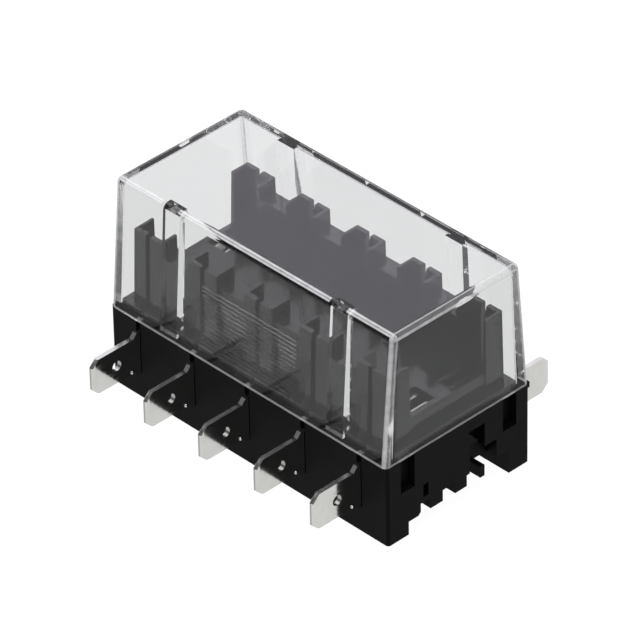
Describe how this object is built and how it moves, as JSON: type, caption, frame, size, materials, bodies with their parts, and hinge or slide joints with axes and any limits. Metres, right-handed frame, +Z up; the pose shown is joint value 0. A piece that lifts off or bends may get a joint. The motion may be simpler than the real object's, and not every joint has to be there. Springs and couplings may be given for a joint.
{
  "type": "blade fuse block with cover",
  "caption": "Black moulded blade fuse block with stamped blade terminals on both long sides and a clear lift-off cover, sockets empty.",
  "frame": {"origin": "middle of the underside, under the middle of the whole block", "axes": "+X along the row of fuse positions, Y from the front row of tabs to the rear row, +Z up"},
  "size_m": [0.06, 0.0502, 0.0374],
  "materials": {
    "housing_plastic": "fine moulded, a little gloss on the edges",
    "clear_plastic": "clear, polished",
    "tinned_brass": "bright tin plate"
  },
  "bodies": {
    "block": {"housing": "housing_plastic", "terminal_front_1": "tinned_brass", "terminal_front_2": "tinned_brass", "terminal_front_3": "tinned_brass", "terminal_front_4": "tinned_brass", "terminal_front_5": "tinned_brass", "terminal_rear_1": "tinned_brass", "terminal_rear_2": "tinned_brass", "terminal_rear_3": "tinned_brass", "terminal_rear_4": "tinned_brass", "terminal_rear_5": "tinned_brass"},
    "lid": {"cover": "clear_plastic"}
  },
  "joints": [
    {"name": "cover_lift", "type": "slide", "parent": "block", "child": "lid", "axis": [0, 0, 1], "range_m": [0, 0.035]}
  ]
}
